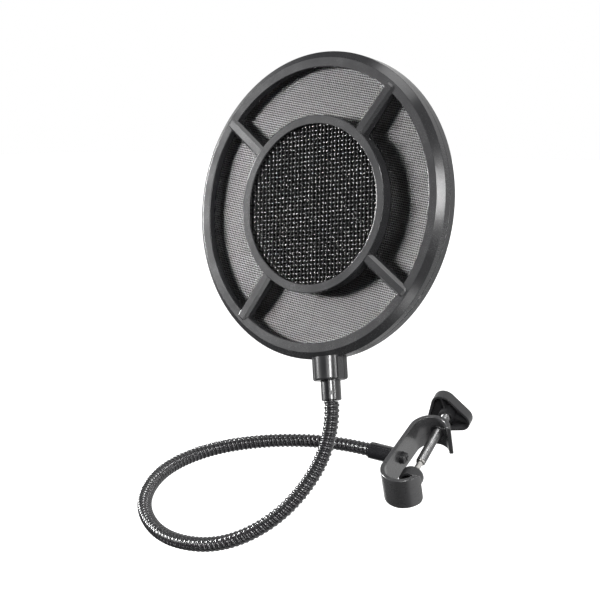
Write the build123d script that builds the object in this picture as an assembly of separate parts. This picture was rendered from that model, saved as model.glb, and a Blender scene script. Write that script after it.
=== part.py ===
from build123d import *
import math
import os

# A clamp-on pop filter: a round two-shell screen head on a gooseneck, carried by a screw clamp.
# Millimetres, +Z up. The origin is the middle of the pole that the clamp grips.

# Frames: the clamp's own axes (X to the open mouth, Y along the screw, Z up the pole) and the
# head's own axes (X to the right, Y to the back, Z up the disc).
CLAMP_X = Vector(0.976, 0.175, -0.129)
CLAMP_Z = Vector(0.197, -0.464, 0.864)
HEAD_CENTRE = Vector(2.2, -75.6, 153.4)
HEAD_X = Vector(0.982, 0.028, 0.185)
HEAD_Z = Vector(-0.187, 0.145, 0.972)
CLAMP = Plane(origin=(0, 0, 0), x_dir=CLAMP_X, z_dir=CLAMP_Z)
HEAD = Plane(origin=HEAD_CENTRE, x_dir=HEAD_X, z_dir=HEAD_Z)

# Screen head
OUTER_R = 77.8
FACE_R = 74.4
RING_IN_R = 69.7
LIP_R = 71.5
HOLLOW_R = 75.3
HUB_IN_R = 40.5
HUB_OUT_R = 44.9
HUB_WALL_R = 42.4
HUB_LIP_T = 1.05
FACE_Y = -5.7
RIM_Y = -2.95
HUB_Y = -8.15
PART_Y = 1.0
SHELL_GAP = 0.3
BACK_Y = 6.3
HUB_BACK_Y = 7.3
FRONT_SEAT_Y = -1.65
REAR_SEAT_Y = 3.45
RIB_ANGLES = (45, 135, 225, 315)
RIB_TOP_W = 3.4
RIB_BEVEL = 1.4
RIB_FOOT_R = 72.2
RIB_FOOT_H = 0.9
RIB_NOSE = 1.4
RIB_NOSE_TAPER = 0.5
RIB_DROP = 0.12
RIB_LIFT = 0.5
FINE_T = 0.5
COARSE_T = 1.2
COARSE_R = 42.2
GAUZE_T = 0.2
SHELL_SCREWS = 6
SHELL_SCREW_R = 73.4
POST_R = 1.7

# Boss under the ring
BOSS_R = 8.0
BOSS_HALF_W = 8.1
BOSS_FLANGE_Y = 3.8
BOSS_SEAT_Y = 6.6
BOSS_TOP_Z = -72.0
BOSS_END_Z = -88.5
BOSS_SCREW_Z = -82.5

# Ferrules and gooseneck
UPPER_R = 5.0
LOWER_R = 4.75
FERRULE_LEN = 20.0
FERRULE_BORE_R = 3.9
SOCKET_DEPTH = 9.0
GOOSE_R = 3.75
GOOSE_BORE_R = 2.3
FIT_GAP = 0.05
STEM_EXIT_Z = -98.5
CLAMP_LEAD = 22.0
STEM_LEAD = 20.5
GOOSE_GAP = 0.3
GOOSE_BEVEL_DEG = 12.0
ROUTE_MIDDLE = [
    (-83.5, -14.0, 15.0),
    (-103.0, -46.5, 12.1),
    (-104.5, -84.0, 5.0),
    (-85.5, -118.5, -6.0),
    (-49.5, -138.0, -15.0),
    (-10.5, -134.7, -13.1),
    (17.6, -117.8, 6.7),
]

# Clamp bracket
STRAP_R = 11.9
STRAP_T = 2.4
STRAP_W = 19.7
ARCH_Y = 34.6
LIP_ANGLE = -6.0
ARCH_END_ANGLE = 21.0
LIP_CORNER_R = 3.5
ARM_Y = 16.9
ARM_LEN = 17.3
ARM_SCREW_R = 2.0
ARM_HOLE_R = 2.2
ARM_HEAD_R = 3.3
ARM_HEAD_H = 2.7
ARM_RECESS = 0.4
WASHER_SPLIT_T = 0.7

# Clamp screw, pad and knob: drawn on the clamp's Y axis, then leaned towards the open mouth
SCREW_LEAN = 4.7
SCREW_PIVOT_Y = 42.0
SPINDLE_R = 2.75
THREAD_LOW_Y = 16.2
NECK_R = 1.7
SPINDLE_TOP_Y = 61.0
BUSH_R = 4.2
BUSH_LOW_Y = 43.2
BUSH_HIGH_Y = 47.2
PAD_R = 6.3
PAD_RIM_Y = -0.3
PAD_BACK_Y = 8.0
PAD_WALL = 1.5
PAD_HOLE_R = 2.1
PAD_PLAY = 0.35
WASHER_R = 3.2
WASHER_T = 0.6
KNOB_RIM_Y = 57.7
KNOB_DEPTH = 6.6
KNOB_WALL = 1.3
KNOB_LOBES = (103, 223, 343)
KNOB_LOBE_AT = 7.4
KNOB_LOBE_R = 6.7
KNOB_HUB_R = 4.5
KNOB_HUB_END_Y = 56.3
INSERT_R = 3.5


def place(shape, frame):
    """Move a shape from a local frame to the part's frame."""
    return frame.location * shape


def ring(r_in, r_out, y0, y1):
    """A flat ring round the Y axis, from y0 to y1."""
    tube = Cylinder(r_out, y1 - y0) - Cylinder(r_in, 2 * (y1 - y0))
    return Pos(0, (y0 + y1) / 2, 0) * Rot(90, 0, 0) * tube


def rod(r, y0, y1, x=0.0, z=0.0):
    """A round bar along Y, from y0 to y1."""
    return Pos(x, (y0 + y1) / 2, z) * Rot(90, 0, 0) * Cylinder(r, y1 - y0)


def turned(points, corner=0.0):
    """Revolve an outline of (radius, y) points round the Y axis."""
    outline = Polyline(*points, close=True)
    face = make_face(Plane.XY * outline)
    if corner:
        face = fillet(face.vertices(), corner)
    return revolve(face, Axis.Y)


def at_angle(shape, degrees):
    """Turn a shape round the Y axis, so that X goes towards +Z."""
    return Rot(0, -degrees, 0) * shape


def leaned(shape):
    """Lean a shape drawn on the clamp's Y axis onto the clamp screw's own line."""
    return Pos(0, SCREW_PIVOT_Y, 0) * Rot(0, 0, SCREW_LEAN) * Pos(0, -SCREW_PIVOT_Y, 0) * shape


# --- screen head, in its own frame ---


def rib_section(r, y_top, y_foot, taper=0.0):
    """A rib's cross-section at radius r: a flat top with bevelled shoulders, narrowed by taper."""
    top = RIB_TOP_W / 2 - taper
    foot = top + RIB_BEVEL
    sign = 1 if y_foot > y_top else -1
    shoulder = y_top + sign * RIB_BEVEL
    spots = [(foot, y_foot), (foot, shoulder), (top, y_top), (-top, y_top), (-foot, shoulder), (-foot, y_foot)]
    plane = Plane(origin=(r, 0, 0), x_dir=(0, 0, 1), z_dir=(1, 0, 0))
    return plane * make_face(Polyline(*[(z, -y) for z, y in spots], close=True))


def rib(y_hub, y_ring, y_foot):
    """A spoke from the inner ring to the outer ring's face, its top sloping, its end bevelled."""
    sign = 1 if y_foot > y_ring else -1
    inner = rib_section(HUB_WALL_R + 0.3, y_hub, y_foot)
    outer = rib_section(RIB_FOOT_R, y_ring, y_foot)
    nose = rib_section(RIB_FOOT_R + RIB_NOSE, y_ring + sign * RIB_NOSE, y_foot, RIB_NOSE_TAPER)
    return loft([inner, outer]) + loft([outer, nose], ruled=True)


def boss_block(y0, y1):
    """The side-walled part of the boss, between two depths, with rounded lower corners."""
    height = BOSS_TOP_Z - BOSS_END_Z
    block = Pos(0, (y0 + y1) / 2, (BOSS_TOP_Z + BOSS_END_Z) / 2) * Box(2 * BOSS_HALF_W, y1 - y0, height)
    low = block.edges().filter_by(Axis.Y).sort_by(Axis.Z)[:2]
    return fillet(low, 1.5)


def boss_round(y0, y1):
    """The round part of the boss, between two depths."""
    body = Pos(0, 0, (BOSS_TOP_Z + BOSS_END_Z) / 2) * Cylinder(BOSS_R, BOSS_TOP_Z - BOSS_END_Z)
    body = fillet(body.edges().sort_by(Axis.Z)[0], 1.0)
    return body & Pos(0, (y0 + y1) / 2, -80) * Box(40, y1 - y0, 60)


def screw_posts(y0, y1, r, hole_r):
    """Posts round the outer ring that take the shell screws."""
    posts = []
    for i in range(SHELL_SCREWS):
        post = rod(r, y0, y1, x=SHELL_SCREW_R) - rod(hole_r, y0 + 1.0, y1 + 1.0, x=SHELL_SCREW_R)
        posts.append(at_angle(post, 360 / SHELL_SCREWS * i))
    return posts


def ferrule_bore():
    """The socket for the upper ferrule, open to the parting plane so that it can be laid in."""
    r = UPPER_R + FIT_GAP
    length = STEM_EXIT_Z + FERRULE_LEN + 0.5 - BOSS_END_Z
    hole = Pos(0, 0, BOSS_END_Z + length / 2 - 1) * Cylinder(r, length + 2)
    slot = Pos(0, 1, BOSS_END_Z + length / 2 - 1) * Box(2 * r, 2, length + 2)
    return hole, slot


def front_shell():
    """Front moulding: outer ring with a wide bevel, raised inner ring, four ribs, front of the boss."""
    outer = turned(
        [
            (RING_IN_R, FRONT_SEAT_Y),
            (RING_IN_R, FACE_Y),
            (FACE_R, FACE_Y),
            (OUTER_R, RIM_Y),
            (OUTER_R, PART_Y),
            (HOLLOW_R, PART_Y),
            (HOLLOW_R, RIM_Y + 0.6),
            (HOLLOW_R - 1.4, FACE_Y + 1.8),
            (LIP_R, FACE_Y + 1.8),
            (LIP_R, FRONT_SEAT_Y),
        ],
        0.4,
    )
    hub = turned(
        [
            (HUB_IN_R, HUB_Y),
            (HUB_OUT_R, HUB_Y),
            (HUB_OUT_R, FRONT_SEAT_Y),
            (HUB_WALL_R, FRONT_SEAT_Y),
            (HUB_WALL_R, HUB_Y + HUB_LIP_T),
            (HUB_IN_R, HUB_Y + HUB_LIP_T),
        ],
        0.35,
    )
    spoke = rib(HUB_Y + RIB_DROP, FACE_Y - RIB_FOOT_H, FRONT_SEAT_Y - RIB_LIFT)
    spoke -= ring(LIP_R, OUTER_R, FACE_Y + 1.0, PART_Y + 1)
    body = outer + hub
    for angle in RIB_ANGLES:
        body += at_angle(spoke, angle)
    for post in screw_posts(FACE_Y + 1.0, PART_Y, POST_R, 0.85):
        body += post
    inside = ring(0, OUTER_R - 1.0, FACE_Y - 5, PART_Y + 20)
    boss = boss_round(-2 * BOSS_R, PART_Y) + boss_block(-BOSS_FLANGE_Y, PART_Y)
    body += boss - inside
    body += boss & ring(HOLLOW_R - 0.5, OUTER_R, RIM_Y + 0.5, PART_Y)
    hole, slot = ferrule_bore()
    body -= hole
    body -= slot
    body -= rod(1.0, FACE_Y, PART_Y + 1, z=BOSS_SCREW_Z)
    return body


def rear_shell():
    """Rear moulding: outer ring, inner ring, four ribs and the back of the boss."""
    y0 = PART_Y + SHELL_GAP
    r = OUTER_R - 0.2
    outer = turned(
        [
            (RING_IN_R, REAR_SEAT_Y),
            (RING_IN_R, BACK_Y),
            (r - 1.0, BACK_Y),
            (r, BACK_Y - 1.0),
            (r, y0),
            (HOLLOW_R, y0),
            (HOLLOW_R, BACK_Y - 1.9),
            (LIP_R, BACK_Y - 1.9),
            (LIP_R, REAR_SEAT_Y),
        ],
        0.2,
    )
    hub = turned(
        [
            (HUB_IN_R, HUB_BACK_Y),
            (HUB_OUT_R, HUB_BACK_Y),
            (HUB_OUT_R, REAR_SEAT_Y),
            (HUB_WALL_R, REAR_SEAT_Y),
            (HUB_WALL_R, HUB_BACK_Y - HUB_LIP_T),
            (HUB_IN_R, HUB_BACK_Y - HUB_LIP_T),
        ],
        0.35,
    )
    spoke = rib(HUB_BACK_Y - RIB_DROP, BACK_Y + 0.5, REAR_SEAT_Y + RIB_LIFT)
    spoke -= ring(LIP_R, OUTER_R, y0 - 5, BACK_Y - 1.0)
    body = outer + hub
    for angle in RIB_ANGLES:
        body += at_angle(spoke, angle)
    for i in range(SHELL_SCREWS):
        angle = 360 / SHELL_SCREWS * i
        body += at_angle(rod(POST_R, y0, BACK_Y - 1.0, x=SHELL_SCREW_R), angle)
        body -= at_angle(rod(1.15, y0 - 1, BACK_Y + 1, x=SHELL_SCREW_R), angle)
        body -= at_angle(rod(1.75, BACK_Y - 1.1, BACK_Y + 1, x=SHELL_SCREW_R), angle)
    boss = boss_round(y0, 2 * BOSS_R) + boss_block(y0, BOSS_FLANGE_Y)
    body += boss - ring(0, OUTER_R - 1.5, y0 - 1, BACK_Y - 0.5)
    hole, slot = ferrule_bore()
    body -= hole
    body -= rod(1.5, y0 - 1, BOSS_R + 1, z=BOSS_SCREW_Z)
    body -= rod(2.9, BOSS_SEAT_Y, BOSS_R + 1, z=BOSS_SCREW_Z)
    return body


def shell_screws():
    """Six small countersunk-in screws that pull the rear shell onto the front shell's posts."""
    head = rod(1.65, BACK_Y - 1.05, BACK_Y - 0.15, x=SHELL_SCREW_R)
    shank = rod(0.8, FACE_Y + 2.2, BACK_Y - 1.05, x=SHELL_SCREW_R)
    screw = head + shank
    return Compound([at_angle(screw, 360 / SHELL_SCREWS * i) for i in range(SHELL_SCREWS)])


def boss_screw():
    """The self-tapping screw that locks the ferrule in the boss."""
    head = rod(2.5, BOSS_SEAT_Y + 0.05, BOSS_SEAT_Y + 1.2, z=BOSS_SCREW_Z)
    head = fillet(head.edges().sort_by(Axis.Y)[-1], 0.6)
    return head + rod(0.95, FACE_Y + 1.0, BOSS_SEAT_Y + 0.1, z=BOSS_SCREW_Z)


def upper_ferrule():
    """Steel sleeve on the gooseneck's upper end, with a cross hole for the boss screw."""
    top = STEM_EXIT_Z + FERRULE_LEN
    body = Pos(0, 0, (top + STEM_EXIT_Z) / 2) * Cylinder(UPPER_R, FERRULE_LEN)
    body = chamfer(body.edges().sort_by(Axis.Z)[0], 0.35)
    body -= Pos(0, 0, STEM_EXIT_Z + SOCKET_DEPTH / 2) * Cylinder(FERRULE_BORE_R, SOCKET_DEPTH + 0.2)
    body -= rod(1.2, -UPPER_R - 1, UPPER_R + 1, z=BOSS_SCREW_Z)
    return body - upper_grub_place() * grub_hole(UPPER_R)


def grub_hole(ferrule_r):
    """The tapped hole for a grub screw, along X."""
    return Pos(ferrule_r, 0, 0) * Rot(0, 90, 0) * Cylinder(1.02, 2.4)


def grub_screw(ferrule_r):
    """A grub screw, along X, sunk in a ferrule's wall."""
    body = Pos((ferrule_r + GOOSE_R) / 2, 0, 0) * Rot(0, 90, 0) * Cylinder(1.0, ferrule_r - GOOSE_R - 0.35)
    socket = Pos(ferrule_r - 0.3, 0, 0) * Rot(0, 90, 0) * Cylinder(0.5, 0.6)
    return body - socket


def upper_grub_place():
    """Where the upper grub screw stands: low on the ferrule, turned to the front right."""
    return Pos(0, 0, STEM_EXIT_Z + 3.6) * Rot(0, 0, -52)


# --- clamp, in its own frame ---


def strap_outline():
    """The bracket's side outline: hook, straight back and arch, one strap of even thickness."""
    r_out = STRAP_R
    r_in = STRAP_R - STRAP_T

    def spot(r, y, degrees):
        a = math.radians(degrees)
        return (r * math.cos(a), y + r * math.sin(a))

    lines = [
        ThreePointArc(spot(r_out, 0, LIP_ANGLE), spot(r_out, 0, -90), spot(r_out, 0, -180)),
        Line(spot(r_out, 0, 180), spot(r_out, ARCH_Y, 180)),
        ThreePointArc(spot(r_out, ARCH_Y, 180), spot(r_out, ARCH_Y, 90), spot(r_out, ARCH_Y, ARCH_END_ANGLE)),
        Line(spot(r_out, ARCH_Y, ARCH_END_ANGLE), spot(r_in, ARCH_Y, ARCH_END_ANGLE)),
        ThreePointArc(spot(r_in, ARCH_Y, ARCH_END_ANGLE), spot(r_in, ARCH_Y, 90), spot(r_in, ARCH_Y, 180)),
        Line(spot(r_in, ARCH_Y, 180), spot(r_in, 0, 180)),
        ThreePointArc(spot(r_in, 0, -180), spot(r_in, 0, -90), spot(r_in, 0, LIP_ANGLE)),
        Line(spot(r_in, 0, LIP_ANGLE), spot(r_out, 0, LIP_ANGLE)),
    ]
    return make_face(lines)


def bracket():
    """The clamp's C-shaped strap, with its arm hole, screw recess and bush hole."""
    body = extrude(strap_outline(), STRAP_W / 2, both=True)
    ends = [e for e in body.edges() if e.length < STRAP_T * 1.2 and abs(e.center().Z) > STRAP_W / 2 - 0.1]
    lip = [e for e in ends if e.center().Y < 5]
    tip = [e for e in ends if e.center().Y > 5]
    body = fillet(lip, LIP_CORNER_R)
    tips = [e for e in body.edges() if e.length < STRAP_T * 1.2 and e.center().Y > 5 and e.center().X > 0]
    tips = [e for e in tips if abs(e.center().Z) > STRAP_W / 2 - 0.1]
    if tip:
        body = fillet(tips, 1.2)
    rims = [e for e in body.edges() if abs(abs(e.center().Z) - STRAP_W / 2) < 0.01]
    body = fillet(rims, 0.5)
    x_in = -STRAP_R + STRAP_T
    hole = Pos(-STRAP_R, ARM_Y, 0) * Rot(0, 90, 0) * Cylinder(ARM_HOLE_R, 8)
    recess = Pos(x_in, ARM_Y, 0) * Rot(0, 90, 0) * Cylinder(ARM_HEAD_R + 0.4, 2 * ARM_RECESS)
    body -= hole
    body -= recess
    return body - leaned(rod(BUSH_R, BUSH_LOW_Y - 5, BUSH_HIGH_Y + 5))


def threaded_bush():
    """Pressed-in bush that carries the clamp screw."""
    body = rod(BUSH_R, BUSH_LOW_Y, BUSH_HIGH_Y)
    body = chamfer(body.edges().filter_by(GeomType.CIRCLE), 0.3)
    return leaned(body - rod(SPINDLE_R + FIT_GAP, BUSH_LOW_Y - 1, BUSH_HIGH_Y + 1))


def arm_screw():
    """Machine screw from inside the bracket into the lower ferrule."""
    seat = -STRAP_R + STRAP_T - ARM_RECESS + WASHER_SPLIT_T
    head = Pos(seat + ARM_HEAD_H / 2, ARM_Y, 0) * Rot(0, 90, 0) * Cylinder(ARM_HEAD_R, ARM_HEAD_H)
    head = fillet(head.edges().sort_by(Axis.X)[-1], 0.9)
    for turn in (20, 110):
        head -= Pos(seat + ARM_HEAD_H, ARM_Y, 0) * Rot(turn, 0, 0) * Box(2.4, 3.9, 0.8)
    shank_end = -STRAP_R - 7.5
    shank = Pos((seat + shank_end) / 2, ARM_Y, 0) * Rot(0, 90, 0) * Cylinder(ARM_SCREW_R, seat - shank_end)
    return head + shank


def lock_washer():
    """Split spring washer under the arm screw's head."""
    x = -STRAP_R + STRAP_T - ARM_RECESS + WASHER_SPLIT_T / 2
    body = Cylinder(3.45, WASHER_SPLIT_T) - Cylinder(ARM_SCREW_R + 0.12, 2)
    body -= Pos(2.5, 0, 0) * Rot(0, 20, 0) * Box(3, 0.5, 3)
    return Pos(x, ARM_Y, 0) * Rot(0, 90, 0) * body


def lower_ferrule():
    """Steel sleeve on the gooseneck's lower end, tapped for the arm screw."""
    x0 = -STRAP_R - ARM_LEN
    body = Pos((x0 - STRAP_R) / 2, 0, 0) * Rot(0, 90, 0) * Cylinder(LOWER_R, ARM_LEN)
    body = chamfer(body.edges().filter_by(GeomType.CIRCLE), 0.35)
    body -= Pos(x0 + SOCKET_DEPTH / 2, 0, 0) * Rot(0, 90, 0) * Cylinder(FERRULE_BORE_R, SOCKET_DEPTH + 0.2)
    body -= Pos(-STRAP_R - 4, 0, 0) * Rot(0, 90, 0) * Cylinder(ARM_SCREW_R + 0.03, 10)
    body -= lower_grub_place() * grub_hole(LOWER_R)
    return Pos(0, ARM_Y, 0) * body


def lower_grub_place():
    """Where the lower grub screw stands, near the ferrule's gooseneck end and on its upper side."""
    return Pos(-STRAP_R - ARM_LEN + 3.6, 0, 0) * Rot(-20, 0, 0) * Rot(0, -90, 0)


def lower_grub_screw():
    """The grub screw that pins the gooseneck in the lower ferrule."""
    return Pos(0, ARM_Y, 0) * lower_grub_place() * grub_screw(LOWER_R)


def clamp_screw():
    """The clamp spindle: thread, thin neck, and a peened end that holds the pad."""
    thread = rod(SPINDLE_R, THREAD_LOW_Y, SPINDLE_TOP_Y)
    thread = chamfer(thread.edges().filter_by(GeomType.CIRCLE), 0.5)
    inner_face = PAD_BACK_Y - 2.2
    collar_y = PAD_BACK_Y + 2 * PAD_PLAY + WASHER_T
    neck = rod(NECK_R, inner_face - PAD_PLAY - 0.1, THREAD_LOW_Y + 0.2)
    collar = rod(2.3, collar_y, collar_y + 1.2)
    rivet = rod(2.5, inner_face - PAD_PLAY - 1.2, inner_face - PAD_PLAY)
    rivet = fillet(rivet.edges().sort_by(Axis.Y)[0], 0.7)
    return leaned(thread + neck + collar + rivet)


def pressure_pad():
    """The swivelling cup that presses on the pole."""
    body = rod(PAD_R, PAD_RIM_Y, PAD_BACK_Y)
    body = fillet(body.edges().filter_by(GeomType.CIRCLE).sort_by(Axis.Y)[-1], 3.2)
    body = fillet(body.edges().filter_by(GeomType.CIRCLE).sort_by(Axis.Y)[0], 0.4)
    body -= rod(PAD_R - PAD_WALL, PAD_RIM_Y - 1, PAD_BACK_Y - 2.2)
    return leaned(body - rod(PAD_HOLE_R, 0, PAD_BACK_Y + 1))


def pad_washer():
    """Thrust washer between the spindle's collar and the pad."""
    y0 = PAD_BACK_Y + PAD_PLAY
    return leaned(ring(NECK_R + 0.08, WASHER_R, y0, y0 + WASHER_T))


def knob_face(inset):
    """The knob's three-lobed outline, drawn inside by the given amount."""
    spots = []
    for angle in KNOB_LOBES:
        a = math.radians(angle)
        spots.append((KNOB_LOBE_AT * math.cos(a), KNOB_LOBE_AT * math.sin(a)))
    lobe_r = KNOB_LOBE_R - inset
    lobes = [Pos(x, z) * Circle(lobe_r) for x, z in spots]
    return make_hull([e for lobe in lobes for e in lobe.edges()])


def knob():
    """The hollow three-lobed knob, open towards the bracket, with a hub tube and ribs inside."""
    low = Plane(origin=(0, KNOB_RIM_Y, 0), x_dir=(1, 0, 0), z_dir=(0, 1, 0))
    body = extrude(low * knob_outline(0), KNOB_DEPTH)
    top_edges = [e for e in body.edges() if abs(e.center().Y - KNOB_RIM_Y - KNOB_DEPTH) < 0.01]
    body = fillet(top_edges, 1.2)
    body -= extrude(low * knob_outline(KNOB_WALL), KNOB_DEPTH - 1.4)
    y_top = KNOB_RIM_Y + KNOB_DEPTH - 1.0
    body += rod(KNOB_HUB_R, KNOB_HUB_END_Y, y_top)
    for angle in KNOB_LOBES:
        web = Pos(KNOB_LOBE_AT + 1.0, KNOB_RIM_Y + KNOB_DEPTH / 2 + 0.4, 0) * Box(9, KNOB_DEPTH - 1.6, 1.0)
        body += at_angle(web, angle)
    return leaned(body - rod(INSERT_R, KNOB_HUB_END_Y - 1, KNOB_RIM_Y + KNOB_DEPTH - 2.4))


def knob_outline(inset):
    """The knob's outline in a plane whose Y axis is the clamp's -Z axis."""
    return mirror(knob_face(inset), Plane.XZ)


def knob_insert():
    """Knurled sleeve moulded in the knob that grips the spindle's end."""
    y0 = KNOB_HUB_END_Y + 1.0
    y1 = KNOB_RIM_Y + KNOB_DEPTH - 2.4
    return leaned(rod(INSERT_R, y0, y1) - rod(SPINDLE_R, y0 - 1, SPINDLE_TOP_Y))


# --- gooseneck, in the part's frame ---


def route():
    """The gooseneck's route: straight out of both ferrules, and the points between."""
    exit_low = CLAMP.from_local_coords(Vector(-STRAP_R - ARM_LEN, ARM_Y, 0))
    lead_low = CLAMP.from_local_coords(Vector(-STRAP_R - ARM_LEN - CLAMP_LEAD, ARM_Y, 0))
    exit_high = HEAD.from_local_coords(Vector(0, 0, STEM_EXIT_Z))
    lead_high = HEAD.from_local_coords(Vector(0, 0, STEM_EXIT_Z - STEM_LEAD))
    return [exit_low, lead_low] + [Vector(*p) for p in ROUTE_MIDDLE] + [lead_high, exit_high]


def hinge_cutter(at, outward):
    """Everything past a segment's bevelled end, where the end faces along outward."""
    r = GOOSE_R + 2
    slope = r * math.tan(math.radians(GOOSE_BEVEL_DEG))
    half = [(0, -GOOSE_GAP / 2), (r, -GOOSE_GAP / 2 - slope), (r, 6), (0, 6)]
    cone = revolve(make_face(Plane.XZ * Polyline(*half, close=True)), Axis.Z)
    return Plane(origin=at, z_dir=outward).location * cone


def gooseneck_segments():
    """One solid per segment, each a straight run, one tangent arc and a straight run."""
    points = route()
    runs = [(b - a).length for a, b in zip(points, points[1:])]
    insert = SOCKET_DEPTH - 0.5
    segments = []
    for k in range(1, len(points) - 1):
        before = (points[k] - points[k - 1]).normalized()
        after = (points[k + 1] - points[k]).normalized()
        first = k == 1
        last = k == len(points) - 2
        start = points[0] - before * insert if first else (points[k - 1] + points[k]) / 2
        end = points[-1] + after * insert if last else (points[k] + points[k + 1]) / 2
        turn = before.get_angle(after)
        radius = 0.45 * min(runs[k - 1], runs[k]) / math.tan(math.radians(turn / 2))
        path = FilletPolyline(start, points[k], end, radius=radius)
        section = Plane(origin=start, z_dir=before) * (Circle(GOOSE_R) - Circle(GOOSE_BORE_R))
        tube = sweep(section, path=path)
        area = math.pi * (GOOSE_R**2 - GOOSE_BORE_R**2)
        print(f"gooseneck {k}: turn {turn:.1f} radius {radius:.1f} length {path.length:.1f}", end=" ")
        print(f"volume {tube.volume:.0f} of {area * path.length:.0f}")
        if not first:
            tube -= hinge_cutter(start, before * -1)
        if not last:
            tube -= hinge_cutter(end, after)
        segments.append(tube)
    return segments


def screens():
    """The screens and rings between the shells, as plain discs, from front to back."""
    rim = LIP_R - 0.1
    front_coarse = HUB_Y + HUB_LIP_T + 0.05
    rear_coarse = HUB_BACK_Y - HUB_LIP_T - 0.05
    front_fine = FRONT_SEAT_Y + 0.05
    rear_fine = REAR_SEAT_Y - 0.05
    gauze = rear_fine - FINE_T - 0.05
    return {
        "coarse_screen_front": rod(COARSE_R, front_coarse, front_coarse + COARSE_T),
        "spacer_ring_front": ring(HUB_IN_R, COARSE_R, front_coarse + COARSE_T + 0.05, FRONT_SEAT_Y),
        "fine_screen_front": rod(rim, front_fine, front_fine + FINE_T),
        "spacer_ring_outer": ring(RING_IN_R, rim, front_fine + FINE_T + 0.05, gauze - GAUZE_T - 0.05),
        "gauze_disc": rod(rim, gauze - GAUZE_T, gauze),
        "fine_screen_rear": rod(rim, rear_fine - FINE_T, rear_fine),
        "spacer_ring_rear": ring(HUB_IN_R, COARSE_R, REAR_SEAT_Y, rear_coarse - COARSE_T - 0.05),
        "coarse_screen_rear": rod(COARSE_R, rear_coarse - COARSE_T, rear_coarse),
    }


def build():
    """Every node, in the part's frame."""
    head = {
        "front_shell": front_shell(),
        "rear_shell": rear_shell(),
        "shell_screws": shell_screws(),
        "boss_screw": boss_screw(),
        "upper_ferrule": upper_ferrule(),
        "upper_grub_screw": upper_grub_place() * grub_screw(UPPER_R),
    }
    head.update(screens())
    clamp = {
        "bracket": bracket(),
        "threaded_bush": threaded_bush(),
        "arm_screw": arm_screw(),
        "lock_washer": lock_washer(),
        "lower_ferrule": lower_ferrule(),
        "lower_grub_screw": lower_grub_screw(),
        "clamp_screw": clamp_screw(),
        "pressure_pad": pressure_pad(),
        "pad_washer": pad_washer(),
        "knob": knob(),
        "knob_insert": knob_insert(),
    }
    nodes = {name: place(shape, HEAD) for name, shape in head.items()}
    nodes.update({name: place(shape, CLAMP) for name, shape in clamp.items()})
    for number, tube in enumerate(gooseneck_segments(), start=1):
        nodes[f"gooseneck_{number}"] = tube
    return nodes


os.makedirs("parts", exist_ok=True)
for node_name, node_shape in build().items():
    export_step(node_shape, f"parts/{node_name}.step")
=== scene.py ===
import math
import bpy
import numpy as np
from mathutils import Matrix, Vector

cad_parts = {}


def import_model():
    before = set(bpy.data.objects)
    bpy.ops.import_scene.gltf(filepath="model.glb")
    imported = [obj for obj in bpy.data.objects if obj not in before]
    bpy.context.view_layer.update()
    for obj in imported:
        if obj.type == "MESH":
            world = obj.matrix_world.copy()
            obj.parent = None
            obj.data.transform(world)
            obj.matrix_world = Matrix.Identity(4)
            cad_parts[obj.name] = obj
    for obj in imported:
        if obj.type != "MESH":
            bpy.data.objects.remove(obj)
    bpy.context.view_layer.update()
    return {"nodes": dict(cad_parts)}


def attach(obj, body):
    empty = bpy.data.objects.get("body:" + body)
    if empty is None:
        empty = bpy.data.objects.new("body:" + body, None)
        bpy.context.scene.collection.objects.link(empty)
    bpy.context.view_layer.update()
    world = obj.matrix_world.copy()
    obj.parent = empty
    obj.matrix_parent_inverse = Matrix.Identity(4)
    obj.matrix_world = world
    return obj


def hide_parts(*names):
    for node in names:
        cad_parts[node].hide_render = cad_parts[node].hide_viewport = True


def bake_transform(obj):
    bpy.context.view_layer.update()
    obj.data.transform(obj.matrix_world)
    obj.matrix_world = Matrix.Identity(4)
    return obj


MM = 0.001
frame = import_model()
nodes = frame["nodes"]
scene = bpy.context.scene
scene.view_settings.view_transform = "Standard"
scene.view_settings.look = "None"


# ---------------------------------------------------------------- frames


def axes(x_dir, z_dir):
    """Right-handed unit axes with Z as given and X as near as possible to x_dir; rows are X, Y, Z."""
    z = np.array(z_dir, float)
    z /= np.linalg.norm(z)
    y = np.cross(z, np.array(x_dir, float))
    y /= np.linalg.norm(y)
    return np.array([np.cross(y, z), y, z])


# the clamp's axes (X to the open mouth, Y along the screw, Z up the pole) and the head's own axes, in mm
CLAMP = (np.zeros(3), axes((0.976, 0.175, -0.129), (0.197, -0.464, 0.864)))
HEAD = (np.array([2.2, -75.6, 153.4]), axes((0.982, 0.028, 0.185), (-0.187, 0.145, 0.972)))


def world(place, points):
    """Points in a local frame, in mm, to the row frame, in metres."""
    origin, rows = place
    return (np.asarray(points, float) @ rows + origin) * MM


def at(place, x, y, z):
    """One point of a local frame, in mm, to the row frame, in metres."""
    return world(place, [(x, y, z)])[0]


# the clamp screw's own axes: the clamp's, leaned a little about a point just inside the arch
LEAN = math.radians(4.7)
PIVOT_Y = 42
COS_LEAN, SIN_LEAN = math.cos(LEAN), math.sin(LEAN)
LEAN_ROWS = np.array([[COS_LEAN, SIN_LEAN, 0], [-SIN_LEAN, COS_LEAN, 0], [0, 0, 1]])
SCREW = (at(CLAMP, PIVOT_Y * SIN_LEAN, PIVOT_Y * (1 - COS_LEAN), 0) / MM, LEAN_ROWS @ CLAMP[1])


# ---------------------------------------------------------------- camera

camera = bpy.data.objects.new("camera", bpy.data.cameras.new("camera"))
scene.collection.objects.link(camera)
camera.data.lens = 107.4
camera.data.sensor_width = 36.0
CAMERA_AT = Vector((0.56486, -0.78106, 0.20039))
right = Vector((0.7744, 0.6326, 0.0))
up = Vector((-0.0661, 0.0810, 0.9945))
turned = Matrix((right, up, right.cross(up))).transposed()
camera.matrix_world = Matrix.Translation(CAMERA_AT) @ turned.to_4x4()
camera.data.clip_start = 0.05
camera.data.clip_end = 50
scene.camera = camera

# ---------------------------------------------------------------- light and floor


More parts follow.
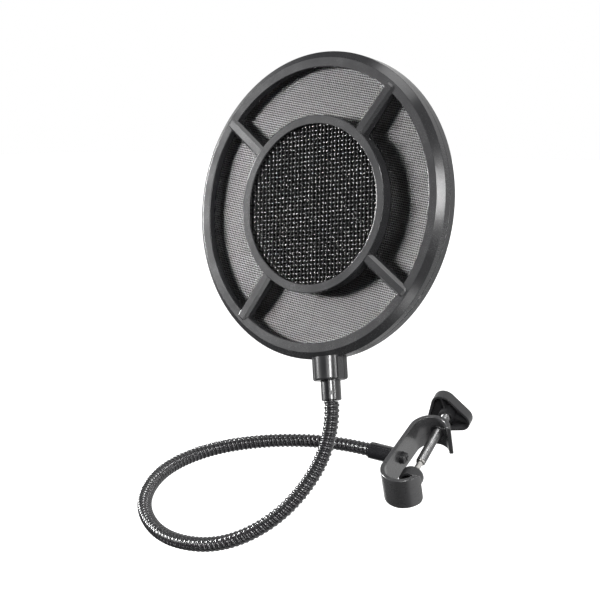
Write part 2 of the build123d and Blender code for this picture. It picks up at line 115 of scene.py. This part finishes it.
def softbox(name, direction, distance, width, height, power, target=(0.0, -0.075, 0.12)):
    """A rectangular soft light that looks at the object."""
    light = bpy.data.lights.new(name, "AREA")
    light.shape = "RECTANGLE"
    light.size = width
    light.size_y = height
    light.energy = power
    lamp = bpy.data.objects.new(name, light)
    scene.collection.objects.link(lamp)
    away = Vector(direction).normalized()
    lamp.location = Vector(target) + away * distance
    lamp.rotation_mode = "QUATERNION"
    lamp.rotation_quaternion = away.to_track_quat("Z", "Y")
    return lamp


# one small hard light from the left draws the shadows, and weak ones draw the sheen on edges and round parts
softbox("key", (-0.894, -0.418, 0.159), 1.3, 0.3, 0.3, 50)
FILLS = [
    softbox("front", (-0.63, -0.77, 0.13), 1.5, 0.5, 0.9, 0.8),
    softbox("front_low", (0.35, -0.92, 0.1), 1.3, 0.3, 0.5, 2.6),
    softbox("front_strip", (0.61, -0.71, 0.33), 1.3, 0.15, 0.45, 18),
    softbox("under_strip", (0.45, -0.63, -0.64), 0.85, 0.1, 0.3, 1.2),
    softbox("right_strip", (0.986, -0.169, 0.1), 1.2, 0.07, 1.0, 9),
    softbox("top", (0.0, -0.2, 0.98), 1.3, 0.5, 0.5, 4),
]

sky = bpy.data.worlds.new("studio")
scene.world = sky
sky.use_nodes = True
tree = sky.node_tree
tree.nodes.clear()
out = tree.nodes.new("ShaderNodeOutputWorld")
mix = tree.nodes.new("ShaderNodeMixShader")
ray = tree.nodes.new("ShaderNodeLightPath")
soft = tree.nodes.new("ShaderNodeBackground")
soft.inputs["Color"].default_value = (1, 1, 1, 1)
# the studio is dark in front of the object and white behind it
where = tree.nodes.new("ShaderNodeTexCoord")
behind = tree.nodes.new("ShaderNodeVectorMath")
behind.operation = "DOT_PRODUCT"
behind.inputs[1].default_value = (0.25, 0.97, 0.0)
backdrop = tree.nodes.new("ShaderNodeMapRange")
backdrop.interpolation_type = "SMOOTHSTEP"
backdrop.inputs["From Min"].default_value = 0.0
backdrop.inputs["From Max"].default_value = 0.3
backdrop.inputs["To Min"].default_value = 0.012
backdrop.inputs["To Max"].default_value = 1.0
tree.links.new(where.outputs["Generated"], behind.inputs[0])
tree.links.new(behind.outputs["Value"], backdrop.inputs["Value"])
tree.links.new(backdrop.outputs["Result"], soft.inputs["Strength"])
white = tree.nodes.new("ShaderNodeBackground")
white.inputs["Color"].default_value = (1, 1, 1, 1)
white.inputs["Strength"].default_value = 1.0
tree.links.new(ray.outputs["Is Camera Ray"], mix.inputs[0])
tree.links.new(soft.outputs[0], mix.inputs[1])
tree.links.new(white.outputs[0], mix.inputs[2])
tree.links.new(mix.outputs[0], out.inputs["Surface"])

floor_mesh = bpy.data.meshes.new("floor")
FLOOR_HALF = 20
FLOOR_Z = -0.45
corners = [(x * FLOOR_HALF, y * FLOOR_HALF, FLOOR_Z) for x, y in ((-1, -1), (1, -1), (1, 1), (-1, 1))]
floor_mesh.from_pydata(corners, [], [(0, 1, 2, 3)])
floor = bpy.data.objects.new("floor", floor_mesh)
scene.collection.objects.link(floor)
pale = bpy.data.materials.new("pale_floor")
pale.use_nodes = True
shader = pale.node_tree.nodes["Principled BSDF"]
shader.inputs["Base Color"].default_value = (0.8, 0.8, 0.8, 1)
shader.inputs["Roughness"].default_value = 0.9
shader.inputs["Emission Color"].default_value = (1, 1, 1, 1)
shader.inputs["Emission Strength"].default_value = 1.0
floor_mesh.materials.append(pale)
# the white floor is only a backdrop and sends no light onto the object
floor.visible_diffuse = False
floor.visible_glossy = False

# ---------------------------------------------------------------- materials


def material(name, color, rough, metallic=0.0, coat=0.0, specular=0.5):
    """A material with a Principled shader; returns it with its node tree and shader."""
    mat = bpy.data.materials.new(name)
    mat.use_nodes = True
    nt = mat.node_tree
    bsdf = nt.nodes["Principled BSDF"]
    bsdf.inputs["Base Color"].default_value = (*color, 1)
    bsdf.inputs["Roughness"].default_value = rough
    bsdf.inputs["Metallic"].default_value = metallic
    bsdf.inputs["Coat Weight"].default_value = coat
    bsdf.inputs["Specular IOR Level"].default_value = specular
    return mat, nt, bsdf


def noise(nt, size_mm, detail=3.0, roughness=0.5):
    """Noise in object space with features of about the given size."""
    coords = nt.nodes.new("ShaderNodeTexCoord")
    tex = nt.nodes.new("ShaderNodeTexNoise")
    tex.inputs["Scale"].default_value = 1000.0 / size_mm
    tex.inputs["Detail"].default_value = detail
    tex.inputs["Roughness"].default_value = roughness
    nt.links.new(coords.outputs["Object"], tex.inputs["Vector"])
    return tex


def remap(nt, source, low, high, from_low=0.3, from_high=0.7):
    """A number output remapped from the noise's usual spread to low..high."""
    node = nt.nodes.new("ShaderNodeMapRange")
    node.inputs["From Min"].default_value = from_low
    node.inputs["From Max"].default_value = from_high
    node.inputs["To Min"].default_value = low
    node.inputs["To Max"].default_value = high
    nt.links.new(source, node.inputs["Value"])
    return node.outputs["Result"]


def tint(nt, bsdf, source, dark, light):
    """Colour that varies between two tones."""
    ramp = nt.nodes.new("ShaderNodeValToRGB")
    ramp.color_ramp.elements[0].position = 0.3
    ramp.color_ramp.elements[0].color = (*dark, 1)
    ramp.color_ramp.elements[1].position = 0.7
    ramp.color_ramp.elements[1].color = (*light, 1)
    nt.links.new(source, ramp.inputs["Fac"])
    nt.links.new(ramp.outputs["Color"], bsdf.inputs["Base Color"])


def bump(nt, bsdf, source, height_mm, strength=1.0, before=None):
    """Bump of the given height; chained after another bump if one is given."""
    node = nt.nodes.new("ShaderNodeBump")
    node.inputs["Strength"].default_value = strength
    node.inputs["Distance"].default_value = height_mm * MM
    nt.links.new(source, node.inputs["Height"])
    if before is not None:
        nt.links.new(before.outputs["Normal"], node.inputs["Normal"])
    nt.links.new(node.outputs["Normal"], bsdf.inputs["Normal"])
    return node


def shade(value):
    """A nearly neutral dark tone, a touch bluer than grey."""
    return (value, value, value + 0.001)


def grained_plastic(name, dark, light, rough, grain_mm, height_mm, specular=0.5):
    """Moulded plastic with an eroded grain, uneven sheen and slight mould flow marks."""
    rough_low, rough_high = rough
    mat, nt, bsdf = material(name, light, rough_high, specular=specular)
    broad = noise(nt, 14.0, 4.0)
    fine = noise(nt, grain_mm, 2.0, 0.6)
    tint(nt, bsdf, broad.outputs["Fac"], dark, light)
    mixed = nt.nodes.new("ShaderNodeMath")
    mixed.operation = "ADD"
    nt.links.new(remap(nt, broad.outputs["Fac"], rough_low, rough_high), mixed.inputs[0])
    nt.links.new(remap(nt, fine.outputs["Fac"], -0.05, 0.05), mixed.inputs[1])
    nt.links.new(mixed.outputs[0], bsdf.inputs["Roughness"])
    first = bump(nt, bsdf, fine.outputs["Fac"], height_mm, 0.8)
    bump(nt, bsdf, broad.outputs["Fac"], 0.02, 0.5, first)
    return mat


def coated_metal(name, dark, light, rough, peel_mm, height_mm, coat=0.0):
    """Painted or plated steel: an orange-peel surface with faint rubbing marks."""
    rough_low, rough_high = rough
    mat, nt, bsdf = material(name, light, rough_high, coat=coat)
    peel = noise(nt, peel_mm, 2.0)
    rub = noise(nt, 5.0, 6.0, 0.7)
    tint(nt, bsdf, rub.outputs["Fac"], dark, light)
    nt.links.new(remap(nt, rub.outputs["Fac"], rough_low, rough_high), bsdf.inputs["Roughness"])
    bump(nt, bsdf, peel.outputs["Fac"], height_mm, 0.7)
    return mat


def bare_metal(name, dark, light, rough):
    """Plated steel with fine drawing marks and patches of uneven shine."""
    rough_low, rough_high = rough
    mat, nt, bsdf = material(name, light, rough_high, metallic=1.0)
    patch = noise(nt, 2.5, 5.0, 0.65)
    tint(nt, bsdf, patch.outputs["Fac"], dark, light)
    nt.links.new(remap(nt, patch.outputs["Fac"], rough_low, rough_high), bsdf.inputs["Roughness"])
    scratch = noise(nt, 0.12, 2.0)
    bump(nt, bsdf, scratch.outputs["Fac"], 0.002, 0.6)
    return mat


PLASTIC = grained_plastic("head_plastic", shade(0.016), shade(0.021), (0.21, 0.26), 0.35, 0.0012, 0.42)
KNOB_PLASTIC = grained_plastic("knob_plastic", shade(0.016), shade(0.020), (0.34, 0.40), 0.35, 0.005)
SPACER = grained_plastic("spacer_plastic", (0.008,) * 3, (0.012,) * 3, (0.6, 0.7), 0.3, 0.01)
GLOSS = coated_metal("black_plating", shade(0.007), shade(0.010), (0.23, 0.29), 1.2, 0.0012, 0.2)
GOOSE = coated_metal("gooseneck_plating", shade(0.013), shade(0.019), (0.21, 0.27), 2.0, 0.0006, 0.2)
POWDER = coated_metal("powder_coat", shade(0.028), shade(0.034), (0.25, 0.31), 0.6, 0.002, 0.2)
BLACK_WIRE = coated_metal("coated_wire", shade(0.026), shade(0.040), (0.18, 0.26), 1.0, 0.003, 0.8)
BLACK_STEEL = coated_metal("black_oxide", shade(0.006), shade(0.012), (0.4, 0.5), 0.8, 0.002)
WIRE = bare_metal("mesh_wire", (0.42, 0.42, 0.425), (0.56, 0.56, 0.565), (0.36, 0.46))
STEEL = bare_metal("zinc_plate", (0.5, 0.49, 0.47), (0.66, 0.65, 0.63), (0.2, 0.32))
# painted shade: the thread is the same steel as the screw's core, darkened for the dark surroundings it
# reflects
SHADED_THREAD_STEEL = bare_metal("thread_steel", (0.13, 0.13, 0.131), (0.19, 0.19, 0.192), (0.36, 0.46))
DARK_STEEL = bare_metal("dark_screw", (0.06, 0.06, 0.065), (0.1, 0.1, 0.105), (0.25, 0.4))


def gauze_material():
    """Thin black knitted gauze."""
    mat, nt, bsdf = material("gauze", (0.008, 0.008, 0.008), 0.9, specular=0.2)
    coords = nt.nodes.new("ShaderNodeTexCoord")
    knit = nt.nodes.new("ShaderNodeTexVoronoi")
    knit.inputs["Scale"].default_value = 1800.0
    nt.links.new(coords.outputs["Object"], knit.inputs["Vector"])
    tint(nt, bsdf, knit.outputs["Distance"], (0.003, 0.003, 0.003), (0.012, 0.012, 0.012))
    bump(nt, bsdf, knit.outputs["Distance"], 0.1, 0.8)
    return mat


GAUZE = gauze_material()

NODE_MATERIAL = {
    "front_shell": PLASTIC,
    "rear_shell": PLASTIC,
    "spacer_ring_front": SPACER,
    "spacer_ring_rear": SPACER,
    "spacer_ring_outer": SPACER,
    "gauze_disc": GAUZE,
    "shell_screws": DARK_STEEL,
    "boss_screw": DARK_STEEL,
    "upper_ferrule": GLOSS,
    "lower_ferrule": GLOSS,
    "upper_grub_screw": BLACK_STEEL,
    "lower_grub_screw": BLACK_STEEL,
    "bracket": POWDER,
    "arm_screw": BLACK_STEEL,
    "lock_washer": BLACK_STEEL,
    "threaded_bush": BLACK_STEEL,
    "pressure_pad": KNOB_PLASTIC,
    "pad_washer": STEEL,
    "knob": KNOB_PLASTIC,
    "knob_insert": STEEL,
}
for node_name, mat in NODE_MATERIAL.items():
    slots = nodes[node_name].data.materials
    slots.clear()
    slots.append(mat)

# ---------------------------------------------------------------- mesh helpers


def mesh_object(name, points, faces, mat, sharp_deg=None):
    """A smooth-shaded object from points in metres, in the row frame; creases above sharp_deg stay sharp."""
    mesh = bpy.data.meshes.new(name)
    mesh.from_pydata([tuple(p) for p in points], [], [tuple(f) for f in faces])
    mesh.validate()
    mesh.polygons.foreach_set("use_smooth", [True] * len(mesh.polygons))
    if sharp_deg is not None:
        mesh.set_sharp_from_angle(angle=math.radians(sharp_deg))
    mesh.materials.append(mat)
    mesh.update()
    obj = bpy.data.objects.new(name, mesh)
    scene.collection.objects.link(obj)
    return obj


# ---------------------------------------------------------------- woven screens

# how far a wire bends out of the middle plane, as a share of its radius
WEAVE_DEPTH = 0.78


def woven_screen(name, mat, y_mid, pitches, wire_r, r_out, turn_deg, sides, steps, seed):
    """A plain weave of round wires in the head's frame, cut to a disc.

    Each wire is a tube that crosses over and under its neighbours, a little uneven as real weaving is.
    """
    rng = np.random.default_rng(seed)
    amp = wire_r * WEAVE_DEPTH
    turn = math.radians(turn_deg)
    ring = [2 * math.pi * k / sides for k in range(sides)]
    points = []
    faces = []
    for direction in (0, 1):
        apart, pitch = pitches[direction], pitches[1 - direction]
        count = int(r_out / apart)
        for i in range(-count, count + 1):
            slip = rng.normal(0, 0.02 * apart)
            wave = rng.uniform(0, 6.28)
            half = math.sqrt(r_out**2 - (i * apart) ** 2)
            crossings = int(half / pitch) * steps
            along = np.arange(-crossings, crossings + 1) * pitch / steps
            side = i * apart + slip + 0.03 * apart * np.sin(along / (9 * pitch) + wave)
            sign = 1 if direction == 0 else -1
            height = sign * amp * np.cos(math.pi * (along / pitch + i))
            base = len(points)
            for a, s, h in zip(along, side, height):
                for t in ring:
                    across = s + wire_r * math.cos(t)
                    y = y_mid + h + wire_r * math.sin(t)
                    u, v = (across, a) if direction == 0 else (a, across)
                    x = u * math.cos(turn) - v * math.sin(turn)
                    z = u * math.sin(turn) + v * math.cos(turn)
                    points.append((x, y, z))
            for j in range(len(along) - 1):
                for k in range(sides):
                    a0 = base + j * sides + k
                    a1 = base + j * sides + (k + 1) % sides
                    face = (a0, a1, a1 + sides, a0 + sides)
                    faces.append(face if direction == 0 else face[::-1])
    return mesh_object(name, world(HEAD, points), faces, mat)


# the part of the fine screens that lies behind the coarse ones, which gets painted shade
SHADED_MIDDLE_R = 41.0


def paint_shade_behind_coarse(screen):
    """Painted shade: the coarse wire's dark colour on the part of a fine screen that lies behind the coarse
    one, for the shade there.
    """
    mesh = screen.data
    mesh.materials.append(BLACK_WIRE)
    centres = np.zeros(len(mesh.polygons) * 3)
    mesh.polygons.foreach_get("center", centres)
    off = centres.reshape(-1, 3) - np.array(at(HEAD, 0, 0, 0))
    inside = np.linalg.norm(off, axis=1) < SHADED_MIDDLE_R * MM
    mesh.polygons.foreach_set("material_index", inside.astype(int))


SCREENS = [
    # name, node, material, depth, pitches, wire radius, outer radius, turn, sides, steps per pitch
    ("fine_weave_front", "fine_screen_front", WIRE, -1.35, (1.15, 1.15), 0.19, 70.6, -19.3, 4, 1),
    ("fine_weave_rear", "fine_screen_rear", WIRE, 3.15, (1.15, 1.15), 0.25, 70.6, 24, 4, 1),
    ("coarse_weave_front", "coarse_screen_front", BLACK_WIRE, -6.4, (2.33, 2.18), 0.42, 42.1, -5, 6, 6),
    ("coarse_weave_rear", "coarse_screen_rear", BLACK_WIRE, 5.55, (2.33, 2.18), 0.42, 42.1, 11, 6, 4),
]
# the fill lights leave the screens out, so that the shadows on the wires stay deep
unfilled = bpy.data.collections.new("unfilled")
for seed, (name, node, mat, depth, pitches, wire, rim, turn, sides, steps) in enumerate(SCREENS, start=1):
    screen = woven_screen(name, mat, depth, pitches, wire, rim, turn, sides, steps, seed)
    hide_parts(node)
    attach(screen, "head")
    unfilled.objects.link(screen)
    # painted shade on the middle of each fine screen, standing in for the shade behind the coarse screen
    if mat is WIRE:
        paint_shade_behind_coarse(screen)
for link in unfilled.collection_objects:
    link.light_linking.link_state = "EXCLUDE"
for lamp in FILLS:
    lamp.light_linking.receiver_collection = unfilled

# ---------------------------------------------------------------- wound and threaded pieces


def path_frames(path):
    """Arc length, tangents and two cross directions that don't twist, along a polyline in mm."""
    step = np.diff(path, axis=0)
    length = np.concatenate([[0], np.cumsum(np.linalg.norm(step, axis=1))])
    tangent = np.gradient(path, length, axis=0)
    tangent /= np.linalg.norm(tangent, axis=1)[:, None]
    normal = np.zeros_like(path)
    start = np.cross(tangent[0], (0.0, 0.0, 1.0))
    normal[0] = start / np.linalg.norm(start)
    for i in range(1, len(path)):
        n = normal[i - 1] - tangent[i] * np.dot(normal[i - 1], tangent[i])
        normal[i] = n / np.linalg.norm(n)
    return length, tangent, normal, np.cross(tangent, normal)


def helix_grid(path, pitch, profile, columns, start, turns):
    """Points of a helically wound skin: one row per profile point per turn, each row one turn of the helix.

    profile is a list of (part of the pitch, radius in mm).
    """
    length, tangent, normal, side = path_frames(path)
    theta = 2 * math.pi * np.arange(columns) / columns
    rows = []
    for m in range(turns + 1):
        for part, radius in profile:
            s = start + pitch * (m + part + np.arange(columns) / columns)
            centre = np.stack([np.interp(s, length, path[:, k]) for k in range(3)], axis=1)
            n = np.stack([np.interp(s, length, normal[:, k]) for k in range(3)], axis=1)
            b = np.stack([np.interp(s, length, side[:, k]) for k in range(3)], axis=1)
            rows.append(centre + radius * (np.cos(theta)[:, None] * n + np.sin(theta)[:, None] * b))
    return rows


def helix_piece(name, rows, per_turn, first, last, mat, sharp_deg):
    """The skin between two whole turns of a helix grid."""
    used = rows[first * per_turn : (last + 1) * per_turn + 1]
    columns = len(used[0])
    points = np.concatenate(used) * MM
    faces = []
    for r in range((last - first) * per_turn):
        for j in range(columns):
            a = r * columns + j
            b = a + 1 if j < columns - 1 else (r + per_turn) * columns
            d = a + columns
            c = b + columns
            faces.append((a, b, c, d))
    return mesh_object(name, points, faces, mat, sharp_deg)


def bead(start, width, foot, height, count):
    """Profile points of one rounded bead, without its last point."""
    out = []
    for k in range(count):
        x = -1 + 2 * k / count
        out.append((start + width * (k / count), foot + height * math.sqrt(max(0.0, 1 - x * x))))
    return out


# the gooseneck's route: the same control points as the CAD tube, in mm
ARM_Y = 16.9
FERRULE_LOW = at(CLAMP, -29.2, ARM_Y, 0) / MM
LEAD_LOW = at(CLAMP, -51.2, ARM_Y, 0) / MM
LEAD_HIGH = at(HEAD, 0, 0, -119.0) / MM
FERRULE_HIGH = at(HEAD, 0, 0, -98.5) / MM
ROUTE = [
    FERRULE_LOW,
    LEAD_LOW,
    (-83.5, -14.0, 15.0),
    (-103.0, -46.5, 12.1),
    (-104.5, -84.0, 5.0),
    (-85.5, -118.5, -6.0),
    (-49.5, -138.0, -15.0),
    (-10.5, -134.7, -13.1),
    (17.6, -117.8, 6.7),
    LEAD_HIGH,
    FERRULE_HIGH,
]
ROUTE = [np.array(p, float) for p in ROUTE]
# how far the winding runs on into each ferrule
INSERT = 6.0


def spline_path(points):
    """The smooth line that has these points as its control points."""
    curve = bpy.data.curves.new("route", "CURVE")
    curve.dimensions = "3D"
    spline = curve.splines.new("NURBS")
    spline.points.add(len(points) - 1)
    for p, co in zip(spline.points, points):
        p.co = (*co, 1)
    spline.order_u = 3
    spline.use_endpoint_u = True
    spline.resolution_u = 40
    holder = bpy.data.objects.new("route", curve)
    scene.collection.objects.link(holder)
    bpy.context.view_layer.update()
    mesh = bpy.data.meshes.new_from_object(holder)
    path = np.array([v.co for v in mesh.vertices], float)
    bpy.data.objects.remove(holder)
    bpy.data.curves.remove(curve)
    bpy.data.meshes.remove(mesh)
    return path


path = spline_path(ROUTE)
first_way = (ROUTE[0] - ROUTE[1]) / np.linalg.norm(ROUTE[0] - ROUTE[1])
last_way = (ROUTE[-1] - ROUTE[-2]) / np.linalg.norm(ROUTE[-1] - ROUTE[-2])
path = np.vstack([ROUTE[0] + first_way * INSERT, path, ROUTE[-1] + last_way * INSERT])
arc = path_frames(path)[0]
# each winding is a round wire's bead and a lower bead that fills the groove
WIND = 2.67
GROOVE_R = 3.05
PROFILE = bead(0.0, 0.70, GROOVE_R, 0.81, 8) + bead(0.70, 0.30, GROOVE_R, 0.45, 4)
turns = int(arc[-1] / WIND) - 1
grid = helix_grid(path, WIND, PROFILE, 28, 0.0, turns)


def arc_at(point):
    """How far along the path its nearest point to this one lies."""
    return arc[np.argmin(np.linalg.norm(path - point, axis=1))]


# the first piece is fixed to the clamp and the last to the head; the rest are baked in place, fixed to no
# body
chain = ["clamp"] + [f"arm_{k}" for k in range(2, 9)] + ["head"]
last = len(chain)
cuts = [0] + [int(round(arc_at(ROUTE[k]) / WIND)) for k in range(1, last + 1)] + [turns - 1]
for k in range(last + 1):
    piece = helix_piece(f"gooseneck_winding_{k + 1}", grid, len(PROFILE), cuts[k], cuts[k + 1], GOOSE, 50)
    if k < last:
        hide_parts(f"gooseneck_{k + 1}")
    if k == 0:
        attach(piece, "clamp")
    elif k == last:
        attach(piece, "head")
    else:
        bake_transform(piece)

# the clamp screw: rolled thread, plain neck, collar and peened end


def lathe(name, place, outline, segments, mat, sharp_deg=40):
    """A turned piece from (radius, y) points in mm, about the place's Y axis."""
    points = []
    faces = []
    for k in range(segments):
        t = 2 * math.pi * k / segments
        for r, y in outline:
            points.append((r * math.cos(t), y, r * math.sin(t)))
    n = len(outline)
    for k in range(segments):
        j = (k + 1) % segments
        for i in range(n - 1):
            faces.append((k * n + i, k * n + i + 1, j * n + i + 1, j * n + i))
    return mesh_object(name, world(place, points), faces, mat, sharp_deg)


THREAD_LOW, THREAD_HIGH = 16.2, 61.0
THREAD_PITCH = 0.8
ROOT_R, CREST_R, CORE_R = 2.38, 2.74, 2.42
END_R, NECK_R, COLLAR_R = 2.5, 1.7, 2.3
axis_ends = [at(SCREW, 0, y, 0) / MM for y in (THREAD_LOW - 1, THREAD_HIGH + 2)]
axis_path = np.linspace(*axis_ends, 50)
FLANK_R = CREST_R - 0.03
THREAD = [(0.0, ROOT_R), (0.12, ROOT_R), (0.46, FLANK_R), (0.54, CREST_R), (0.64, CREST_R), (0.72, FLANK_R)]
thread_turns = int((THREAD_HIGH - THREAD_LOW - 0.6) / THREAD_PITCH)
thread_grid = helix_grid(axis_path, THREAD_PITCH, THREAD, 36, 1.3, thread_turns + 1)
# the thread's darker steel is painted shade
thread = helix_piece("screw_thread", thread_grid, len(THREAD), 0, thread_turns, SHADED_THREAD_STEEL, 40)
PEENED_END = [(0.0, 4.3), (1.6, 4.3), (2.1, 4.45), (2.42, 4.8), (END_R, 5.0), (2.45, 5.4), (NECK_R, 5.45)]
COLLAR = [(NECK_R, 9.3), (2.2, 9.3), (COLLAR_R, 9.4), (COLLAR_R, 10.35), (2.2, 10.5), (NECK_R, 10.55)]
SHANK = [(NECK_R, 15.9), (2.3, THREAD_LOW), (CORE_R, 16.6), (CORE_R, THREAD_HIGH), (0.0, THREAD_HIGH)]
core = lathe("screw_core", SCREW, PEENED_END + COLLAR + SHANK, 48, STEEL)
for piece in (thread, core):
    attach(piece, "spindle")
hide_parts("clamp_screw")
